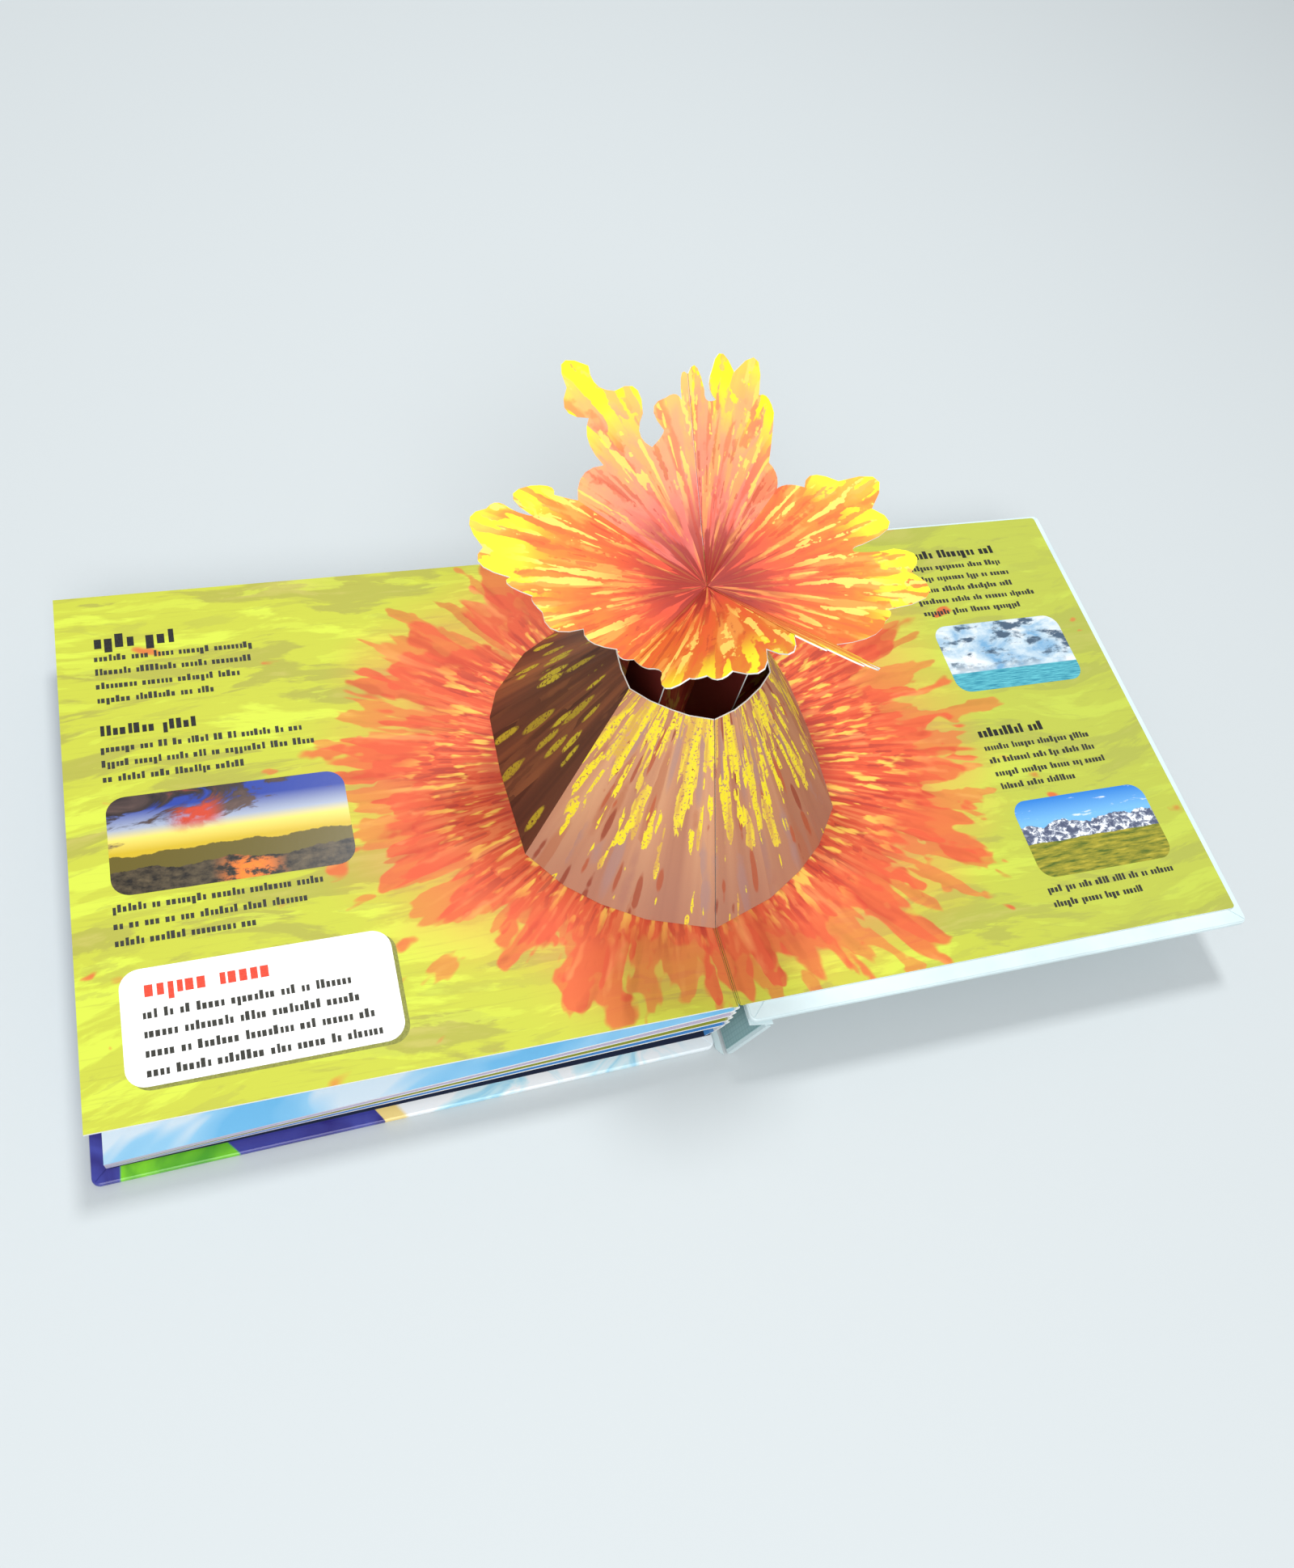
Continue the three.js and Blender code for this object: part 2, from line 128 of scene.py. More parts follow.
floor = bpy.data.objects.new("floor", bpy.data.meshes.new("floor"))
half_floor = FLOOR_SIZE / 2
floor_corners = [(x * half_floor, y * half_floor, 0) for x, y in ((-1, -1), (1, -1), (1, 1), (-1, 1))]
floor.data.from_pydata(floor_corners, [], [(0, 1, 2, 3)])
floor_finish = bpy.data.materials.new("floor_paper")
floor_finish.use_nodes = True
floor_finish.node_tree.nodes["Principled BSDF"].inputs["Base Color"].default_value = FLOOR_COLOUR
floor_finish.node_tree.nodes["Principled BSDF"].inputs["Roughness"].default_value = FLOOR_ROUGHNESS
floor.data.materials.append(floor_finish)
bpy.context.scene.collection.objects.link(floor)

# Open spread
# The two facing pages are printed in lime and olive brush strokes, with red flames round the cone's foot.
# The left page is the top of the block of leaves, and the right one is pasted to the back cover.


class Net:
    """Short calls that add shader nodes to one tree. A number or a colour may stand in for a socket."""

    def __init__(self, tree):
        self.tree = tree

    def feed(self, socket, value):
        if isinstance(value, bpy.types.NodeSocket):
            self.tree.links.new(value, socket)
        elif isinstance(value, (tuple, list)) and socket.type == "RGBA":
            socket.default_value = (*value[:3], 1)
        else:
            socket.default_value = value

    def split(self, vector):
        node = self.tree.nodes.new("ShaderNodeSeparateXYZ")
        self.feed(node.inputs[0], vector)
        return node.outputs

    def vector(self, x, y, z=0.0):
        node = self.tree.nodes.new("ShaderNodeCombineXYZ")
        for socket, value in zip(node.inputs, (x, y, z)):
            self.feed(socket, value)
        return node.outputs[0]

    def vector_maths(self, operation, first, second=None, scale=None, output=0):
        node = self.tree.nodes.new("ShaderNodeVectorMath")
        node.operation = operation
        self.feed(node.inputs[0], first)
        if second is not None:
            self.feed(node.inputs[1], second)
        if scale is not None:
            self.feed(node.inputs["Scale"], scale)
        return node.outputs[output]

    def scaled(self, vector, scale):
        return self.vector_maths("SCALE", vector, scale=scale)

    def maths(self, operation, first, second=0.0, clamp=False):
        node = self.tree.nodes.new("ShaderNodeMath")
        node.operation = operation
        node.use_clamp = clamp
        self.feed(node.inputs[0], first)
        self.feed(node.inputs[1], second)
        return node.outputs[0]

    def add(self, first, second):
        return self.maths("ADD", first, second)

    def take(self, first, second):
        return self.maths("SUBTRACT", first, second)

    def times(self, first, second):
        return self.maths("MULTIPLY", first, second)

    def over(self, first, second):
        return self.maths("DIVIDE", first, second)

    def step(self, value, low, high, smooth=True):
        node = self.tree.nodes.new("ShaderNodeMapRange")
        node.interpolation_type = "SMOOTHSTEP" if smooth else "LINEAR"
        self.feed(node.inputs["Value"], value)
        node.inputs["From Min"].default_value = low
        node.inputs["From Max"].default_value = high
        return node.outputs["Result"]

    def noise(self, vector, scale=1.0, detail=2.0, roughness=0.5, distortion=0.0):
        node = self.tree.nodes.new("ShaderNodeTexNoise")
        self.feed(node.inputs["Vector"], vector)
        node.inputs["Scale"].default_value = scale
        node.inputs["Detail"].default_value = detail
        node.inputs["Roughness"].default_value = roughness
        node.inputs["Distortion"].default_value = distortion
        return node.outputs["Fac"]

    def blotches(self, x, y, x_scale, y_scale, shift, detail, roughness, distortion=0.0):
        """Noise over two directions, each with a scale of its own. A shift gives another pattern."""
        place = self.vector(self.times(x, x_scale), self.times(y, y_scale), shift)
        return self.noise(place, 1.0, detail, roughness, distortion)

    def swing(self, value, reach):
        """Turns a value round 0.5 into one round 0 that goes reach times as far."""
        return self.times(self.take(value, 0.5), reach)

    def mix(self, share, first, second):
        node = self.tree.nodes.new("ShaderNodeMix")
        node.data_type = "RGBA"
        self.feed(node.inputs[0], share)
        self.feed(node.inputs[6], first)
        self.feed(node.inputs[7], second)
        return node.outputs[2]

    def wash(self, under, paint, where, strength):
        """Lays paint over what is under it, at some strength, where a mask says."""
        return self.mix(self.times(where, strength), under, paint)

    def ramp(self, value, stops, flat=False):
        node = self.tree.nodes.new("ShaderNodeValToRGB")
        self.feed(node.inputs[0], value)
        bar = node.color_ramp
        bar.interpolation = "CONSTANT" if flat else "LINEAR"
        while len(bar.elements) < len(stops):
            bar.elements.new(0.5)
        for element, (position, colour) in zip(bar.elements, stops):
            element.position = position
            element.color = (*colour[:3], 1)
        return node.outputs[0]

    def shared(self, effect, **values):
        """Places a shared effect in this tree, with the values of its sockets."""
        node = self.tree.nodes.new("ShaderNodeGroup")
        node.node_tree = effect
        for name, value in values.items():
            self.feed(node.inputs[name.title()], value)
        return node.outputs


def shared_effect(name, inputs, outputs, build):
    """A shader node group for an effect that several materials use."""
    tree = bpy.data.node_groups.new(name, "ShaderNodeTree")
    for socket_name, kind, value in inputs:
        socket = tree.interface.new_socket(name=socket_name, in_out="INPUT", socket_type=kind)
        socket.default_value = value
    for socket_name, kind in outputs:
        tree.interface.new_socket(name=socket_name, in_out="OUTPUT", socket_type=kind)
    given = tree.nodes.new("NodeGroupInput")
    result = tree.nodes.new("NodeGroupOutput")
    made = build(Net(tree), given.outputs)
    for (socket_name, _), socket in zip(outputs, made):
        tree.links.new(socket, result.inputs[socket_name])
    return tree


def build_rays(net, given):
    """How far a point lies from a centre, and in which direction."""
    reach = net.vector_maths("SUBTRACT", given["Position"], given["Centre"])
    reach = net.vector_maths("MULTIPLY", reach, given["Stretch"])
    return net.vector_maths("LENGTH", reach, output=1), net.vector_maths("NORMALIZE", reach)


def build_dabs(net, given):
    """Separate blobs of paint with soft round ends, one in some of the cells of a lattice."""
    cells = net.tree.nodes.new("ShaderNodeTexVoronoi")
    net.feed(cells.inputs["Vector"], given["Vector"])
    cells.inputs["Scale"].default_value = 1
    cells.inputs["Randomness"].default_value = 0.7
    chance = net.tree.nodes.new("ShaderNodeSeparateColor")
    net.feed(chance.inputs[0], cells.outputs["Color"])
    present = net.maths("LESS_THAN", chance.outputs[0], given["Present"])
    size = net.times(given["Size"], net.add(0.65, net.times(chance.outputs[1], 0.55)))
    inside = net.over(net.take(size, cells.outputs["Distance"]), given["Softness"])
    mask = net.times(net.maths("ADD", inside, 0.5, clamp=True), present)
    return mask, chance.outputs[2]


def build_streaks(net, given):
    """Uneven paint drawn out along the rays. Around is how many streaks go round, Length their length."""
    lattice = net.scaled(given["Direction"], given["Around"])
    depth = net.add(net.over(given["Reach"], given["Length"]), given["Offset"])
    lattice = net.vector_maths("ADD", lattice, net.vector(0.0, 0.0, depth))
    return (net.noise(lattice, detail=2, roughness=0.42),)


def build_paper_grain(net, given):
    """The fine tooth of coated paper, as a surface direction."""
    fibre = net.noise(net.scaled(given["Position"], given["Grain"]), detail=3, roughness=0.6)
    bump = net.tree.nodes.new("ShaderNodeBump")
    bump.inputs["Distance"].default_value = 0.0001
    net.feed(bump.inputs["Strength"], given["Strength"])
    net.feed(bump.inputs["Height"], fibre)
    return (bump.outputs[0],)


VECTOR = "NodeSocketVector"
FLOAT = "NodeSocketFloat"
RAYS = shared_effect(
    "rays_from_a_centre",
    [("Position", VECTOR, (0, 0, 0)), ("Centre", VECTOR, (0, 0, 0)), ("Stretch", VECTOR, (1, 1, 1))],
    [("Reach", FLOAT), ("Direction", VECTOR)],
    build_rays,
)
DABS = shared_effect(
    "paint_dabs",
    [("Vector", VECTOR, (0, 0, 0)), ("Present", FLOAT, 0.5), ("Size", FLOAT, 0.4), ("Softness", FLOAT, 0.1)],
    [("Mask", FLOAT), ("Tint", FLOAT)],
    build_dabs,
)
STREAKS = shared_effect(
    "painted_streaks",
    [
        ("Direction", VECTOR, (0, 0, 0)), ("Reach", FLOAT, 0), ("Around", FLOAT, 10), ("Length", FLOAT, 30),
        ("Offset", FLOAT, 0),
    ],
    [("Value", FLOAT)],
    build_streaks,
)
PAPER_GRAIN = shared_effect(
    "paper_grain",
    [("Position", VECTOR, (0, 0, 0)), ("Grain", FLOAT, 0.5), ("Strength", FLOAT, 0.12)],
    [("Normal", VECTOR)],
    build_paper_grain,
)
PRINT_SHEEN = 0.25
PRINT_ROUGHNESS = 0.55


class Finish(Net):
    """A material in millimetres of the book's own space, with its surface ready for a colour."""

    def __init__(self, name, roughness=0.5, coat=0.0):
        self.material = bpy.data.materials.new(name)
        self.material.use_nodes = True
        super().__init__(self.material.node_tree)
        self.surface = self.tree.nodes["Principled BSDF"]
        self.surface.inputs["Roughness"].default_value = roughness
        self.surface.inputs["Coat Weight"].default_value = coat
        self.surface.inputs["Specular IOR Level"].default_value = PRINT_SHEEN
        coordinates = self.tree.nodes.new("ShaderNodeTexCoord")
        self.place = self.scaled(coordinates.outputs["Object"], 1 / MM)
        self.x, self.y, self.z = self.split(self.place)

    def facing(self, axis):
        node = self.tree.nodes.new("ShaderNodeNewGeometry")
        return self.split(node.outputs["True Normal"])[axis]

    def rays(self, centre, stretch=(1, 1, 1)):
        made = self.shared(RAYS, position=self.place, centre=centre, stretch=stretch)
        return made["Reach"], made["Direction"]

    def streaks(self, direction, reach, around, length, offset=0.0):
        made = self.shared(
            STREAKS, direction=direction, reach=reach, around=around, length=length, offset=offset,
        )
        return made["Value"]

    def dabs_along(self, direction, reach, around, length, present, size=0.42, softness=0.12, offset=0.0):
        """Dabs drawn out along the rays: around sets how many go round, length how long each one is."""
        lattice = self.scaled(direction, around)
        depth = self.add(self.over(reach, length), offset)
        lattice = self.vector_maths("ADD", lattice, self.vector(0.0, 0.0, depth))
        made = self.shared(DABS, vector=lattice, present=present, size=size, softness=softness)
        return made["Mask"], made["Tint"]

    def paper(self, strength=0.12, grain=0.5):
        made = self.shared(PAPER_GRAIN, position=self.place, grain=grain, strength=strength)
        self.tree.links.new(made["Normal"], self.surface.inputs["Normal"])

    def colour(self, socket):
        self.feed(self.surface.inputs["Base Color"], socket)


def ink(red, green, blue):
    """An ink's colour as it shows, in parts of 255, turned to the renderer's linear light."""
    parts = (value / 255 for value in (red, green, blue))
    return tuple(part / 12.92 if part < 0.04045 else ((part + 0.055) / 1.055) ** 2.4 for part in parts)


LIME = ink(196, 202, 66)
BRIGHT_LIME = ink(211, 225, 74)
OLIVE = ink(176, 176, 72)
KHAKI = ink(190, 184, 90)
MOSS = ink(164, 160, 66)
EMBER = ink(224, 92, 58)
BRICK = ink(206, 72, 48)
CHAR = ink(168, 56, 48)
PEACH = ink(241, 143, 87)
GLOW = ink(255, 204, 92)
CARD_WHITE = ink(246, 246, 242)
BURNT_ORANGE = ink(226, 146, 84)
SAGE = ink(170, 182, 84)
CREASE_SHADE = ink(104, 96, 40)
# Near-black navy: painted shade of the gap under the lowest leaf, on the pastedown and the lowest leaf's
# underside
PAINTED_GAP_SHADE = ink(34, 44, 70)
CONE_STRETCH = (1.0, 1.28, 0.0)
GUTTER_Y = GUTTER_MIDDLE.y / MM
SPREAD_TOP = GUTTER_MIDDLE.z / MM
CREASE_OFFSET = 0.7
# Each layer of tongues: how many go round, their length, a shift, where they thin out and end, and strength
FLAME_TONGUES = (
    (13.0, 36.0, 3.0, 88, 168, 0.6),
    (8.0, 50.0, 11.0, 82, 162, 0.8),
    (12.0, 38.0, 17.0, 78, 146, 0.85),
)


def brushed_field(finish):
    """Flat patches of a wide brush drawn across the sheet, with fine bristle lines, greyer to the right."""
    wander = finish.noise(finish.place, 0.008, 2, 0.5)
    bent = finish.add(finish.times(finish.y, 0.055), finish.times(wander, 2.2))
    wide = finish.noise(finish.vector(finish.times(finish.x, 0.011), bent), 1.0, 6, 0.58, 0.4)
    field = finish.ramp(wide, [
        (0.34, KHAKI), (0.40, OLIVE), (0.44, OLIVE), (0.47, LIME), (0.56, LIME), (0.60, BRIGHT_LIME),
        (0.7, BRIGHT_LIME),
    ])
    layer = finish.blotches(finish.x, bent, 0.02, 1.9, 6.0, 6, 0.6, 0.3)
    field = finish.wash(field, OLIVE, finish.step(layer, 0.56, 0.60), 0.4)
    field = finish.wash(field, BRIGHT_LIME, finish.step(layer, 0.42, 0.38), 0.5)
    bristle = finish.blotches(finish.x, finish.y, 0.03, 0.7, 4.0, 4, 0.65)
    field = finish.wash(field, MOSS, finish.step(bristle, 0.52, 0.72), 0.28)
    return finish.wash(field, SAGE, finish.step(finish.x, 30, 200), 0.5)


def flames(finish, field):
    """Tongues of red and orange wash that run out from the cone, with glowing strokes round its foot."""
    reach, direction = finish.rays((0, GUTTER_Y, 0), CONE_STRETCH)
    sway = finish.noise(finish.place, 0.02, 2, 0.5)
    ragged = finish.noise(finish.scaled(direction, 2.6), 1.0, 3, 0.6)
    bent = finish.add(reach, finish.swing(sway, 40))
    bent = finish.add(bent, finish.swing(ragged, -44))
    bent = finish.take(bent, finish.times(finish.step(finish.x, 10, 60), 9))
    drift = finish.noise(finish.place, 0.03, 3, 0.55)
    turned = finish.scaled(direction, finish.add(0.9, finish.times(drift, 0.2)))

    printed = finish.wash(field, BURNT_ORANGE, finish.step(bent, 156, 100), 0.62)
    tone = finish.streaks(turned, reach, 15.0, 60.0, 7.0)
    paint = finish.ramp(tone, [(0.34, BRICK), (0.47, EMBER), (0.60, EMBER), (0.74, PEACH)])
    for around, length, offset, inner, outer, strength in FLAME_TONGUES:
        value = finish.streaks(turned, reach, around, length, offset)
        level = finish.add(0.30, finish.times(finish.step(bent, inner, outer, smooth=False), 0.42))
        tongue = finish.step(finish.take(value, level), 0.0, 0.04)
        printed = finish.wash(printed, paint, tongue, strength)
    near = finish.step(bent, 116, 88)
    fine = finish.streaks(turned, reach, 34.0, 90.0, 13.0)
    printed = finish.wash(printed, paint, near, 0.6)
    printed = finish.wash(printed, PEACH, finish.times(near, finish.step(fine, 0.53, 0.62)), 0.55)
    printed = finish.wash(printed, CHAR, finish.times(near, finish.step(fine, 0.46, 0.38)), 0.6)
    glow = finish.streaks(turned, reach, 25.0, 14.0, 31.0)
    glow = finish.times(finish.step(glow, 0.54, 0.66), finish.step(bent, 112, 84))
    printed = finish.wash(printed, GLOW, glow, 0.95)
    return finish.wash(printed, CHAR, finish.step(reach, 80, 70), 0.4)


def page_finish(name, with_leaves):
    finish = Finish(name, roughness=PRINT_ROUGHNESS)
    printed = flames(finish, brushed_field(finish))
    across = finish.maths("ABSOLUTE", finish.x)
    # Two thin dark lines either side of the gutter fold: painted shade in the crease.
    crease = finish.maths("ABSOLUTE", finish.take(across, CREASE_OFFSET))
    printed = finish.wash(printed, CREASE_SHADE, finish.step(crease, 0.28, 0.08), 0.65)
    upward = finish.step(finish.facing(2), 0.5, 0.7)
    top = finish.times(upward, finish.step(finish.z, SPREAD_TOP - 0.2, SPREAD_TOP - 0.1))
    edges = CARD_WHITE
    if with_leaves:
        edges = finish.mix(upward, leaf_edges(finish, across), leaf_tops(finish, across))
        # The underside of the lowest leaf is painted near-black as shade in the gap above the pastedown.
        lowest = finish.step(leaf_number(finish, across), 3.6, 3.7)
        downward = finish.times(finish.step(finish.facing(2), -0.5, -0.7), lowest)
        edges = finish.mix(downward, edges, PAINTED_GAP_SHADE)
    near_top = finish.step(finish.z, SPREAD_TOP - 2, SPREAD_TOP - 1)
    edges = finish.mix(finish.times(finish.step(across, 4, 2), near_top), edges, LIME)
    finish.colour(finish.mix(top, edges, printed))
    finish.paper()
    return finish.material


# Below the spread the leaves fan out: at the spine they stand apart, and at the fore-edge they lie together.
LEAF_STEP_AT_SPINE = 5.25
LEAF_STEP_AT_EDGE = 1.25
FIRST_LEAF_AT_EDGE = 10.1
FORE_EDGE = 227.8


def leaf_number(finish, across):
    """0 at the spread, then 1, 2, 3 and 4 on the tops of the leaves below it."""
    share = finish.over(across, FORE_EDGE)
    level = finish.take(SPREAD_TOP, finish.times(share, SPREAD_TOP - FIRST_LEAF_AT_EDGE))
    spacing = finish.take(LEAF_STEP_AT_SPINE, finish.times(share, LEAF_STEP_AT_SPINE - LEAF_STEP_AT_EDGE))
    return finish.over(finish.take(level, finish.z), spacing)


def leaf_tops(finish, across):
    """A blue sky on the leaf under the spread, then one plain field of colour on each lower leaf."""
    cloud = finish.blotches(finish.x, finish.y, 0.014, 0.03, 0.0, 2, 0.5, 1.6)
    sky = finish.ramp(cloud, [
        (0.44, ink(126, 200, 244)), (0.64, ink(164, 218, 250)), (0.70, ink(226, 240, 250)),
    ])
    number = leaf_number(finish, across)
    lower = finish.ramp(
        finish.times(number, 0.2),
        [(0.0, ink(198, 190, 214)), (0.5, ink(150, 156, 56)), (0.7, ink(70, 140, 208))],
        flat=True,
    )
    return finish.mix(finish.step(number, 1.45, 1.55), sky, lower)


def leaf_edges(finish, across):
    """The cut edges are white near the spine and lilac where the leaves lie close together."""
    packed = finish.step(across, 60, 215)
    number = leaf_number(finish, across)
    lilac = finish.mix(finish.step(number, 0.8, 0.9), CARD_WHITE, ink(200, 194, 214))
    return finish.mix(packed, CARD_WHITE, lilac)


def dress(node, material):
    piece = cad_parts[node]
    piece.data.materials.clear()
    piece.data.materials.append(material)


dress("page_block", page_finish("leaf_card", True))
dress("right_page", page_finish("spread_card", False))

# Print on the pages
# Rows of small upright bars stand where the reading text is, one for each character. They carry no letters.
INK_THICKNESS = 0.05
TEXT_INK = ink(46, 46, 40)
HEADING_INK = ink(26, 26, 24)


def character_tree():
    """Puts one bar on each point of a mesh, sized by the point's own attribute, and inks them all."""
    tree = bpy.data.node_groups.new("printed_characters", "GeometryNodeTree")
    for name, kind in (("Geometry", "NodeSocketGeometry"), ("Material", "NodeSocketMaterial")):
        tree.interface.new_socket(name=name, in_out="INPUT", socket_type=kind)
    tree.interface.new_socket(name="Geometry", in_out="OUTPUT", socket_type="NodeSocketGeometry")
    given = tree.nodes.new("NodeGroupInput")
    result = tree.nodes.new("NodeGroupOutput")
    bar = tree.nodes.new("GeometryNodeMeshCube")
    bar.inputs["Size"].default_value = (MM, MM, INK_THICKNESS * MM)
    size = tree.nodes.new("GeometryNodeInputNamedAttribute")
    size.data_type = "FLOAT_VECTOR"
    size.inputs["Name"].default_value = "character_size"
    spread = tree.nodes.new("GeometryNodeInstanceOnPoints")
    real = tree.nodes.new("GeometryNodeRealizeInstances")
    inked = tree.nodes.new("GeometryNodeSetMaterial")
    for source, target in (
        (given.outputs["Geometry"], spread.inputs["Points"]),
        (bar.outputs["Mesh"], spread.inputs["Instance"]),
        (size.outputs[0], spread.inputs["Scale"]),
        (spread.outputs[0], real.inputs[0]),
        (real.outputs[0], inked.inputs["Geometry"]),
        (given.outputs["Material"], inked.inputs["Material"]),
        (inked.outputs[0], result.inputs[0]),
    ):
        tree.links.new(source, target)
    return tree


CHARACTER_TREE = character_tree()


def ink_finish(name, colour):
    finish = Finish(name, roughness=PRINT_ROUGHNESS)
    speck = finish.noise(finish.place, 1.4, 2, 0.6)
    worn = tuple(part * 1.35 + 0.01 for part in colour)
    finish.colour(finish.mix(finish.step(speck, 0.3, 0.7), colour, worn))
    return finish.material


TEXT_FINISH = ink_finish("text_ink", TEXT_INK)
HEADING_FINISH = ink_finish("heading_ink", HEADING_INK)
LEADING = 6.6
BAR = 2.1
CHARACTER_PITCH = 0.86
TALL_SHARE = 0.3
TALL_RISE = 0.45
SINKING_SHARE = 0.2
WORD_LENGTHS = (2, 9)
BAR_BREADTHS = (0.5, 0.78)
BAR_GAP = 0.3
WORD_GAP = 0.9
FULL_ROWS = (0.86, 1.0)
LAST_ROWS = (0.6, 0.9)


def character_places(width, rows, leading, bar, chance):
    """Places and sizes of the bars: words of two to nine characters, and rows that end unevenly."""
    places, sizes = [], []
    pitch = bar * CHARACTER_PITCH
    for row in range(rows):
        reach = width * chance.uniform(*(FULL_ROWS if row < rows - 1 else LAST_ROWS))
        x = 0.0
        while x < reach - 2 * pitch:
            for _ in range(chance.randint(*WORD_LENGTHS)):
                if x > reach:
                    break
                tall = TALL_RISE * bar if chance.random() < TALL_SHARE else 0.0
                sink = -0.5 if chance.random() < SINKING_SHARE else 0.5
                broad = chance.uniform(*BAR_BREADTHS)
                places.append((x + pitch / 2, -row * leading + sink * tall))
                sizes.append((pitch * broad, bar + tall, 1.0))
                x += pitch * (broad + BAR_GAP)
            x += pitch * WORD_GAP
    return places, sizes


def text_rows(name, left, top, width, rows, bar, seed, finish, leading=LEADING, layer=SPREAD_TOP):
    """left and top are where the first row starts, from the gutter and the middle of the page's height."""
    places, sizes = character_places(width, rows, leading, bar, random.Random(seed))
    mesh = bpy.data.meshes.new(name)
    height = (layer + INK_THICKNESS * 0.7) * MM
    mesh.from_pydata([((left + x) * MM, (top + y + GUTTER_Y) * MM, height) for x, y in places], [], [])
    size = mesh.attributes.new("character_size", "FLOAT_VECTOR", "POINT")
    size.data.foreach_set("vector", [part for one in sizes for part in one])
    carrier = bpy.data.objects.new(name, mesh)
    bpy.context.scene.collection.objects.link(carrier)
    rule = carrier.modifiers.new("characters", "NODES")
    rule.node_group = CHARACTER_TREE
    for item in CHARACTER_TREE.interface.items_tree:
        if item.in_out == "INPUT" and item.name == "Material":
            rule[item.identifier] = finish
    depsgraph = bpy.context.evaluated_depsgraph_get()
    printed = bpy.data.meshes.new_from_object(carrier.evaluated_get(depsgraph))
    carrier.modifiers.clear()
    carrier.data = printed
    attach(carrier, "pages" if left < 0 else "back_board")


LEFT_MARGIN = -216
RIGHT_MARGIN = 146
TITLE_BAR = 4.6
HEADING_BAR = 3.2
# Each block of rows: name, left, top, width, number of rows, height of a bar, seed and ink
TEXT_BLOCKS = (
    ("left_heading", LEFT_MARGIN, 86, 46, 1, TITLE_BAR, 3, HEADING_FINISH),
    ("left_opening_text", LEFT_MARGIN, 78.5, 62, 4, BAR, 5, TEXT_FINISH),
    ("left_second_heading", LEFT_MARGIN, 44.0, 50, 1, HEADING_BAR, 8, HEADING_FINISH),
    ("left_second_text", LEFT_MARGIN, 36, 80, 3, BAR, 9, TEXT_FINISH),
    ("left_lower_text", LEFT_MARGIN, -31.5, 80, 3, BAR, 12, TEXT_FINISH),
    ("right_heading", RIGHT_MARGIN, 92.0, 60, 1, HEADING_BAR, 15, HEADING_FINISH),
    ("right_opening_text", RIGHT_MARGIN, 84.5, 62, 5, BAR, 16, TEXT_FINISH),
    ("right_second_heading", RIGHT_MARGIN, -9.5, 50, 1, HEADING_BAR, 18, HEADING_FINISH),
    ("right_second_text", RIGHT_MARGIN, -17, 60, 4, BAR, 21, TEXT_FINISH),
    ("right_caption", RIGHT_MARGIN, -87.5, 66, 2, BAR, 24, TEXT_FINISH),
)
for block in TEXT_BLOCKS:
    text_rows(*block)

# Picture panels and note box
# Four rounded fields printed on the pages: three small landscapes and a white box with an olive drop shadow.
PANEL_CORNER = 7.0
ARC_STEPS = 8
# The corners of a panel in turn: to the right or left of its middle, and above or below it
CORNER_SIDES = ((1, -1), (1, 1), (-1, 1), (-1, -1))
# Heights of the print layers above the paper
PRINT_BOTTOM = 0.01
SHADOW_TOP = 0.03
NOTE_BOTTOM = 0.04
NOTE_TOP = 0.08


def rounded_outline(low, high, shift=(0, 0)):
    """A panel's outline on the page, with round corners."""
    points = []
    for corner, (to_right, above) in enumerate(CORNER_SIDES):
        x = (high[0] if to_right > 0 else low[0]) - to_right * PANEL_CORNER
        y = (high[1] if above > 0 else low[1]) - above * PANEL_CORNER
        for step in range(ARC_STEPS + 1):
            turn = math.pi / 2 * (corner - 1 + step / ARC_STEPS)
            points.append((
                x + PANEL_CORNER * math.cos(turn) + shift[0],
                y + PANEL_CORNER * math.sin(turn) + shift[1] + GUTTER_Y,
            ))
    return points


def flat_plate(name, outline, bottom, top, materials):
    """A thin plate: its top takes the first material and its sides and underside the last."""
    work = bmesh.new()
    lower = [work.verts.new((x * MM, y * MM, bottom * MM)) for x, y in outline]
    upper = [work.verts.new((x * MM, y * MM, top * MM)) for x, y in outline]
    work.faces.new(upper)
    work.faces.new(lower[::-1]).material_index = len(materials) - 1
    count = len(outline)
    for index in range(count):
        after = (index + 1) % count
        side = work.faces.new((lower[index], lower[after], upper[after], upper[index]))
        side.material_index = len(materials) - 1
    bmesh.ops.triangulate(work, faces=work.faces[:])
    mesh = bpy.data.meshes.new(name)
    work.to_mesh(mesh)
    work.free()
    piece = bpy.data.objects.new(name, mesh)
    for material in materials:
        mesh.materials.append(material)
    bpy.context.scene.collection.objects.link(piece)
    return piece


def panel_finish(name, low, high, paint):
    finish = Finish(name, roughness=0.3, coat=0.25)
    across = finish.over(finish.take(finish.x, low[0]), high[0] - low[0])
    along = finish.over(finish.take(finish.y, low[1] + GUTTER_Y), high[1] - low[1])
    finish.colour(paint(finish, across, along))
    finish.paper()
    return finish.material


SKYLINE_BLUR = 0.012


def under_skyline(finish, across, along, level, reach, scale, shift):
    """1 below a broken skyline that runs along the panel, and 0 above it."""
    wave = finish.noise(finish.vector(finish.times(across, scale), shift), 1.0, 6, 0.55)
    line = finish.add(level, finish.swing(wave, reach))
    return finish.step(finish.take(line, along), 0.0, SKYLINE_BLUR)


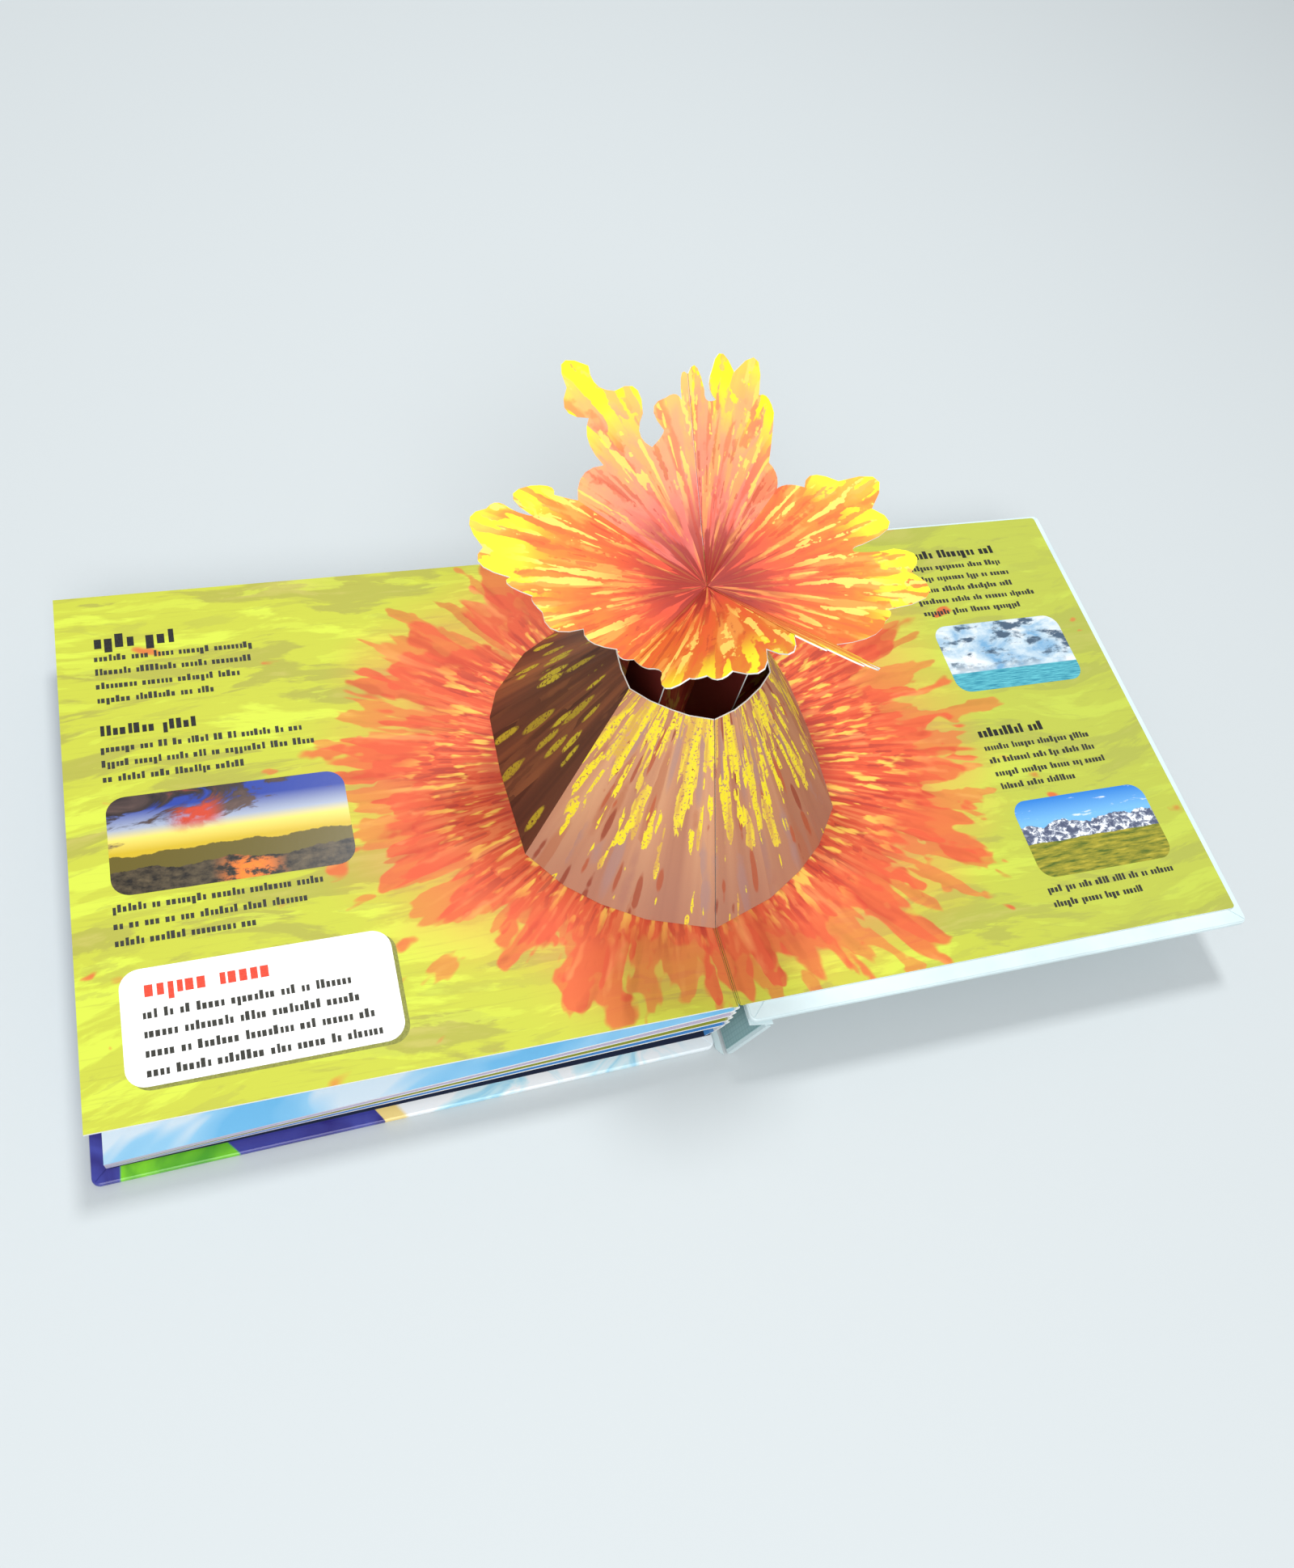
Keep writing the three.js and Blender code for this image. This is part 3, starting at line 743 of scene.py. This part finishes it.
def dusk_hills(finish, across, along):
    sky = finish.ramp(along, [
        (0.42, ink(210, 180, 40)), (0.56, ink(240, 222, 110)), (0.66, ink(170, 180, 200)),
        (0.85, ink(40, 66, 160)),
    ])
    smoke = finish.blotches(across, along, 3.2, 3.4, 3.0, 5, 0.6, 0.8)
    soot = finish.ramp(smoke, [(0.4, ink(34, 30, 34)), (0.7, ink(104, 82, 76))])
    bank = finish.add(smoke, finish.times(finish.take(along, 0.72), 0.75))
    bank = finish.add(bank, finish.times(finish.take(0.45, across), 0.28))
    sky = finish.mix(finish.step(bank, 0.56, 0.64), sky, soot)
    plume = finish.step(finish.maths("ABSOLUTE", finish.take(across, 0.36)), 0.14, 0.04)
    lit = finish.times(finish.step(smoke, 0.46, 0.60), plume)
    sky = finish.mix(finish.times(lit, finish.step(along, 0.5, 0.7)), sky, ink(206, 70, 44))
    far = under_skyline(finish, across, along, 0.40, 0.3, 4.0, 2.0)
    sky = finish.mix(far, sky, ink(104, 92, 30))
    near = under_skyline(finish, across, along, 0.24, 0.5, 2.4, 7.0)
    ground = finish.blotches(across, along, 16, 12, 0.0, 5, 0.65)
    rock = finish.ramp(ground, [(0.36, ink(24, 20, 18)), (0.7, ink(104, 90, 66))])
    warm = finish.step(finish.maths("ABSOLUTE", finish.take(across, 0.56)), 0.17, 0.02)
    glow = finish.times(finish.times(finish.step(ground, 0.42, 0.56), warm), finish.step(along, 0.36, 0.1))
    return finish.mix(near, sky, finish.mix(glow, rock, ink(255, 132, 34)))


def sea_and_cloud(finish, across, along):
    cloud = finish.blotches(across, along, 3.5, 3.2, 1.0, 6, 0.6, 0.4)
    sky = finish.ramp(cloud, [
        (0.36, ink(120, 170, 208)), (0.5, ink(190, 212, 226)), (0.64, ink(238, 242, 244)),
    ])
    dark = finish.step(finish.blotches(across, along, 4.5, 5, 8.0, 5, 0.6), 0.50, 0.60)
    dark = finish.times(dark, finish.step(along, 0.2, 0.5))
    sky = finish.mix(dark, sky, ink(74, 96, 118))
    waves = finish.blotches(across, along, 9, 60, 0.0, 4, 0.6)
    sea = finish.ramp(waves, [(0.35, ink(44, 134, 160)), (0.65, ink(104, 196, 208))])
    return finish.mix(finish.step(along, 0.27, 0.285), sea, sky)


def snow_and_meadow(finish, across, along):
    sky = finish.ramp(along, [(0.7, ink(120, 186, 236)), (1.0, ink(44, 126, 214))])
    puff = finish.blotches(across, along, 5, 12, 5.0, 4, 0.6)
    sky = finish.wash(sky, ink(240, 246, 250), finish.step(puff, 0.6, 0.7), 0.8)
    rock = finish.blotches(across, along, 20, 14, 2.0, 6, 0.7, 0.5)
    hill = finish.ramp(rock, [
        (0.44, ink(84, 92, 118)), (0.52, ink(150, 158, 176)), (0.56, ink(242, 246, 250)),
    ])
    land = finish.mix(under_skyline(finish, across, along, 0.66, 0.34, 5.0, 3.0), sky, hill)
    grass = finish.blotches(across, along, 7, 22, 6.0, 5, 0.6)
    meadow = finish.ramp(grass, [
        (0.35, ink(84, 104, 36)), (0.6, ink(170, 160, 52)), (0.75, ink(206, 190, 80)),
    ])
    return finish.mix(under_skyline(finish, across, along, 0.44, 0.12, 3.0, 9.0), land, meadow)


def panel(name, low, high, paint, body):
    finish = panel_finish(name + "_print", low, high, paint)
    bottom = SPREAD_TOP + PRINT_BOTTOM
    piece = flat_plate(name, rounded_outline(low, high), bottom, bottom + INK_THICKNESS, [finish])
    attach(piece, body)


panel("dusk_hills_panel", (-215.6, -26.4), (-128.9, 14.5), dusk_hills, "pages")
panel("sea_panel", (146.7, 13.0), (213.4, 50.2), sea_and_cloud, "back_board")
panel("snow_panel", (146.7, -82.0), (213.4, -44.9), snow_and_meadow, "back_board")

NOTE_LOW = (-215.6, -98.1)
NOTE_HIGH = (-122.3, -55.4)
NOTE_SHADOW = (1.6, -1.4)
NOTE_LAYER = SPREAD_TOP + NOTE_TOP
shade_finish = ink_finish("note_shadow_ink", ink(128, 130, 58))
note_finish = ink_finish("note_box_white", ink(236, 236, 234))
note_shadow = flat_plate(
    "note_shadow", rounded_outline(NOTE_LOW, NOTE_HIGH, NOTE_SHADOW),
    SPREAD_TOP + PRINT_BOTTOM, SPREAD_TOP + SHADOW_TOP, [shade_finish],
)
note_box = flat_plate(
    "note_box", rounded_outline(NOTE_LOW, NOTE_HIGH), SPREAD_TOP + NOTE_BOTTOM, NOTE_LAYER, [note_finish],
)
for piece in (note_shadow, note_box):
    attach(piece, "pages")
NOTE_RED = ink_finish("note_heading_ink", ink(226, 66, 44))
text_rows("note_heading", -208, -64, 54, 1, 4.4, 30, NOTE_RED, layer=NOTE_LAYER)
text_rows("note_text", -209, -73, 88, 4, 2.3, 31, TEXT_FINISH, leading=LEADING + 0.3, layer=NOTE_LAYER)

# Front cover
# A greyboard panel wrapped in laminated paper. It is sky blue with pale swirls near the spine, and deep blue
# with a bright green field towards the fore-edge.
PALE_WRAP = ink(220, 238, 241)
# From the fore-edge in: where the green field begins and ends, where the deep blue ends and the sky begins
FIELD_EDGES = (-224.0, -190.1, -137.9, -131.4)


def front_wrap():
    finish = Finish("front_cover_wrap", roughness=0.3, coat=0.3)
    warp = finish.noise(finish.place, 0.02, 2, 0.5)
    bent = finish.vector(
        finish.add(finish.times(finish.x, 0.016), finish.times(warp, 1.6)),
        finish.add(finish.times(finish.y, 0.03), finish.times(warp, 2.4)),
    )
    swirl = finish.noise(bent, 1.6, 3, 0.55, 1.6)
    sky = finish.ramp(swirl, [
        (0.36, ink(158, 220, 245)), (0.45, ink(208, 242, 252)), (0.53, ink(250, 253, 255)),
    ])
    deep = finish.ramp(finish.noise(bent, 2.0, 2, 0.5), [(0.4, ink(52, 48, 132)), (0.6, ink(72, 78, 172))])
    leafy = finish.noise(bent, 3.0, 3, 0.5)
    leafy = finish.ramp(leafy, [(0.35, ink(82, 172, 40)), (0.65, ink(142, 230, 46))])
    start = finish.add(finish.x, finish.swing(warp, 14))
    edge = finish.add(start, finish.times(finish.maths("ABSOLUTE", finish.add(finish.y, 106)), -0.8))
    green_start, green_end, deep_end, sky_start = FIELD_EDGES
    inside = finish.step(start, green_start, green_start + 1)
    inside = finish.times(inside, finish.step(edge, green_end, green_end - 1))
    colour = finish.mix(inside, deep, leafy)
    colour = finish.mix(finish.step(edge, deep_end, deep_end + 0.6), colour, ink(250, 222, 140))
    colour = finish.mix(finish.step(edge, sky_start, sky_start + 2), colour, sky)
    colour = finish.mix(finish.step(finish.x, -44, -8), colour, ink(240, 248, 252))
    outside = finish.step(finish.facing(2), -0.5, -0.7)
    finish.colour(finish.mix(outside, colour, PALE_WRAP))
    finish.paper(0.08, 0.3)
    return finish.material


dress("front_cover", front_wrap())


def plain_card(name, colour, roughness=0.5):
    finish = Finish(name, roughness=roughness, coat=0.1)
    tone = finish.noise(finish.place, 0.03, 4, 0.55)
    darker = tuple(part * 0.88 for part in colour)
    finish.colour(finish.mix(finish.step(tone, 0.3, 0.7), colour, darker))
    finish.paper()
    return finish.material


WHITE_CARD = plain_card("white_card", CARD_WHITE)
# The pastedown is painted near-black as shade in the gap under the lowest leaf.
dress("front_pastedown", plain_card("pastedown_painted_shade", PAINTED_GAP_SHADE))

# Back cover
# The same wrapped board in pale blue. It carries the right page and turns on the fold at the gutter.
back_wrap = plain_card("back_cover_wrap", PALE_WRAP, 0.3)
dress("back_cover", back_wrap)

# Spine
# The narrow board between the covers, lined with grey-green paper inside, and the two flexible joint strips.
dress("spine_board", back_wrap)
MESH_PITCH = 2.0


def mull_finish():
    """Grey-green paper with the faint threads of the gauze that is glued behind it."""
    finish = Finish("spine_lining_paper", roughness=0.8)
    tone = finish.noise(finish.place, 0.03, 4, 0.55)
    paper = finish.mix(finish.step(tone, 0.3, 0.7), ink(158, 192, 194), ink(142, 176, 178))
    slant = finish.add(finish.z, finish.times(finish.x, 0.5))
    along = finish.step(finish.maths("PINGPONG", finish.y, MESH_PITCH / 2), 0.22, 0.08)
    across = finish.step(finish.maths("PINGPONG", slant, MESH_PITCH / 2), 0.22, 0.08)
    threads = finish.maths("MAXIMUM", along, across)
    finish.colour(finish.wash(paper, ink(96, 130, 134), threads, 0.3))
    finish.paper()
    return finish.material


dress("spine_lining", mull_finish())


def joint_strip(node, name):
    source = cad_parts[node]
    mesh = source.data.copy()
    piece = bpy.data.objects.new(name, mesh)
    mesh.materials.clear()
    mesh.materials.append(back_wrap)
    bpy.context.scene.collection.objects.link(piece)
    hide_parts(node)
    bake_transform(piece)


joint_strip(
    "front_joint", "front_joint_strip",
)
joint_strip(
    "back_joint", "back_joint_strip",
)

# Volcano cone
# One sheet of printed card folded to a closed cone and glued to both pages by its foot. Each pop-up piece
# takes the place of its solid: printed outside, dark or white inside, with white cut edges.
SMOOTH_BELOW = math.radians(28)
# What a face of the card shows, by its number in the list of finishes
PRINTED = 0
INSIDE = 1
CUT = 2


def card_piece(node, name, body, finishes, side_of):
    """A copy of a solid whose faces are sorted into print, inside and cut edge by side_of."""
    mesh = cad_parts[node].data.copy()
    mesh.name = name
    mesh.materials.clear()
    for finish in finishes:
        mesh.materials.append(finish)
    for face in mesh.polygons:
        face.material_index = side_of(Vector(face.center) / MM, Vector(face.normal))
        face.use_smooth = True
    mesh.set_sharp_from_angle(angle=SMOOTH_BELOW)
    piece = bpy.data.objects.new(name, mesh)
    bpy.context.scene.collection.objects.link(piece)
    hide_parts(node)
    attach(piece, body)
    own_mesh(piece)


def card_halves(nodes, pieces, finishes, side_of):
    """The left half turns with the leaves and the right half with the back cover."""
    for side, body in (("left", "pages"), ("right", "back_board")):
        card_piece(nodes + side, pieces + side, body, finishes, side_of)


# The cone's middle lies a little behind the middle of the page.
CONE_BACK = 3
LEVEL_FACE = 0.9
SIDEWAYS_FACE = 0.3


def rock_finish():
    """Streaks and yellow dabs painted down the slope, in dark browns on the side towards the left page."""
    finish = Finish("rock_print", roughness=PRINT_ROUGHNESS)
    _, direction = finish.rays((0, GUTTER_Y + CONE_BACK, 0), (1, 1, 0))
    wobble = finish.noise(finish.place, 0.05, 3, 0.55)
    down = finish.add(finish.times(finish.z, 1.2), finish.times(wobble, 10))
    turned = finish.scaled(direction, finish.add(1.0, finish.swing(wobble, 0.12)))
    body = finish.noise(finish.scaled(direction, 3.0), 1.0, 4, 0.6)

    rock = finish.ramp(body, [
        (0.34, ink(184, 124, 98)), (0.5, ink(210, 150, 114)), (0.68, ink(228, 174, 132)),
    ])
    # Faces turned to the right are darkened: painted shade on that side of the cone.
    rock = finish.wash(rock, ink(152, 84, 58), finish.step(finish.facing(0), 0.1, 0.6), 0.5)
    low = finish.step(finish.z, SPREAD_TOP + 34, SPREAD_TOP + 2)
    rock = finish.wash(rock, ink(176, 124, 106), low, 0.55)
    streak, tint = finish.dabs_along(turned, down, 12.0, 42.0, 0.7, 0.5, 0.2, 2.0)
    glaze = finish.ramp(tint, [(0.3, ink(186, 112, 78)), (0.7, ink(176, 140, 136))])
    rock = finish.wash(rock, glaze, streak, 0.6)
    stroke, tint = finish.dabs_along(turned, down, 19.0, 24.0, 0.34, 0.36, 0.1, 9.0)
    rock = finish.wash(rock, finish.mix(tint, ink(148, 62, 44), ink(196, 98, 62)), stroke, 0.8)

    shade = finish.ramp(body, [(0.34, ink(78, 46, 36)), (0.5, ink(114, 66, 46)), (0.66, ink(164, 98, 58))])
    shade = finish.wash(shade, finish.mix(tint, ink(64, 34, 28), ink(150, 92, 58)), streak, 0.7)

    patches = finish.streaks(turned, down, 11.0, 26.0, 17.0)
    slips = finish.streaks(turned, down, 19.0, 22.0, 29.0)
    clusters = finish.swing(finish.noise(finish.place, 0.045, 2, 0.5), 0.3)
    high = finish.step(finish.z, SPREAD_TOP + 16, SPREAD_TOP + 50)
    clusters = finish.add(clusters, finish.take(finish.times(high, 0.03), finish.times(low, 0.1)))
    light = finish.step(finish.add(patches, clusters), 0.548, 0.562)
    light = finish.maths("MAXIMUM", light, finish.step(finish.add(slips, clusters), 0.60, 0.62))
    grit = finish.step(finish.noise(finish.place, 0.9, 3, 0.6), 0.36, 0.46)
    yellow = finish.ramp(slips, [
        (0.40, ink(226, 180, 84)), (0.5, ink(244, 214, 74)), (0.6, ink(252, 232, 50)),
    ])
    rock = finish.mix(finish.times(light, grit), rock, yellow)
    fewer, tint = finish.dabs_along(turned, down, 12.0, 24.0, 0.5, 0.36, 0.08, 41.0)
    ochre = finish.mix(tint, ink(176, 150, 44), ink(206, 186, 48))
    shade = finish.mix(finish.times(fewer, grit), shade, ochre)

    dark_side = finish.step(finish.facing(0), 0.0, -0.1)
    dark_side = finish.times(dark_side, finish.step(finish.facing(1), -0.36, -0.3))
    finish.colour(finish.mix(dark_side, rock, shade))
    finish.paper()
    return finish.material


CUT_EDGE = plain_card("cut_card_edge", CARD_WHITE)
CRATER_PRINT = plain_card("crater_print", ink(84, 34, 32))


def cone_side(centre, normal):
    if abs(normal.z) > LEVEL_FACE:
        return CUT
    outward = Vector((centre.x, centre.y - GUTTER_Y - CONE_BACK, 0)).normalized().dot(normal)
    if abs(outward) < SIDEWAYS_FACE:
        return CUT
    return PRINTED if outward > 0 else INSIDE


CONE_FINISHES = (rock_finish(), CRATER_PRINT, CUT_EDGE)
card_halves("volcano_", "folded_cone_", CONE_FINISHES, cone_side)

# Lava burst
# Six petals of one die-cut card, folded along its creases and held over the crater by two struts.
BURST_CENTRE = (0.0, 12.7 + GUTTER_Y, SPREAD_TOP + 97.1)
PETAL_REACH = 96.0
SHEET_SLACK = 0.6
FLATTEST_EDGE = 0.65
GUTTER_FACE = 0.9


def lava_finish():
    """Dark red strokes at the centre, then red, orange and yellow, in paint drawn out along each petal."""
    finish = Finish("lava_print", roughness=PRINT_ROUGHNESS)
    reach, direction = finish.rays(BURST_CENTRE)
    patch = finish.noise(finish.scaled(direction, 4.0), 1.0, 4, 0.6)
    blot = finish.noise(finish.place, 0.045, 3, 0.6)
    share = finish.add(finish.over(reach, PETAL_REACH), finish.swing(patch, 0.42))
    share = finish.add(share, finish.swing(blot, 0.5))
    heat = finish.ramp(share, [
        (0.05, ink(200, 72, 60)), (0.22, ink(226, 88, 62)), (0.42, ink(238, 108, 54)),
        (0.64, ink(246, 142, 56)), (0.83, ink(252, 184, 62)), (0.94, ink(253, 238, 52)),
    ])
    # Upright back petals take a paler, pinker copy of the lava colours: pink print with painted light on the
    # faces turned to the front.
    pink_and_highlight = finish.ramp(share, [
        (0.05, ink(206, 96, 92)), (0.35, ink(244, 138, 120)), (0.62, ink(252, 172, 124)),
        (0.82, ink(253, 208, 100)), (0.95, ink(252, 238, 70)),
    ])
    behind = finish.step(finish.y, BURST_CENTRE[1] + 3, BURST_CENTRE[1] + 12)
    behind = finish.times(behind, finish.step(finish.facing(2), 0.9, 0.8))
    heat = finish.mix(behind, heat, pink_and_highlight)
    front = finish.step(finish.y, BURST_CENTRE[1] - 8, BURST_CENTRE[1] - 24)
    heat = finish.wash(heat, ink(216, 104, 36), front, 0.55)

    shaken = finish.noise(finish.place, 0.12, 3, 0.6)
    direction = finish.scaled(direction, finish.add(0.94, finish.times(shaken, 0.12)))
    broad = finish.streaks(direction, reach, 10.0, 24.0, 5.0)
    heat = finish.wash(heat, ink(253, 192, 92), finish.step(broad, 0.53, 0.62), 0.42)
    heat = finish.wash(heat, ink(234, 88, 54), finish.step(broad, 0.46, 0.38), 0.42)
    thin = finish.streaks(direction, reach, 18.0, 26.0, 13.0)
    lines = finish.times(finish.step(thin, 0.39, 0.34), finish.step(reach, 80, 40))
    heat = finish.wash(heat, ink(176, 58, 42), lines, 0.5)
    pale = finish.times(finish.step(thin, 0.58, 0.61), finish.step(reach, 20, 50))
    heat = finish.wash(heat, ink(255, 226, 110), pale, 0.85)
    tips = finish.streaks(direction, reach, 14.0, 24.0, 33.0)
    tips = finish.times(finish.step(tips, 0.50, 0.54), finish.step(reach, 52, 76))
    heat = finish.mix(tips, heat, ink(253, 242, 46))
    centre = finish.step(reach, 46, 6)
    dark = finish.streaks(direction, reach, 6.0, 18.0, 45.0)
    dark = finish.step(finish.add(dark, finish.times(centre, 0.16)), 0.56, 0.62)
    heat = finish.mix(finish.times(dark, finish.times(centre, 0.75)), heat, ink(138, 38, 34))
    finish.colour(heat)
    finish.paper()
    return finish.material


def petal_side(centre, normal):
    if abs(normal.x) > GUTTER_FACE and abs(centre.x) < 1:
        return PRINTED
    from_sheet = abs((centre - Vector(BURST_CENTRE)).dot(normal))
    if abs(normal.z) <= FLATTEST_EDGE or from_sheet > SHEET_SLACK:
        return CUT
    return PRINTED if normal.z > 0 else INSIDE


BURST_FINISHES = (lava_finish(), WHITE_CARD, CUT_EDGE)
card_halves("burst_", "folded_burst_", BURST_FINISHES, petal_side)

# Struts
# Two card panels, printed dark, that stand inside the cone and lift the burst as the book opens.


def strut_side(centre, normal):
    return PRINTED if abs(normal.x) > 0.5 else CUT


strut_card = plain_card("strut_print", ink(128, 48, 42))
card_halves("strut_", "strut_panel_", (strut_card, strut_card, CUT_EDGE), strut_side)
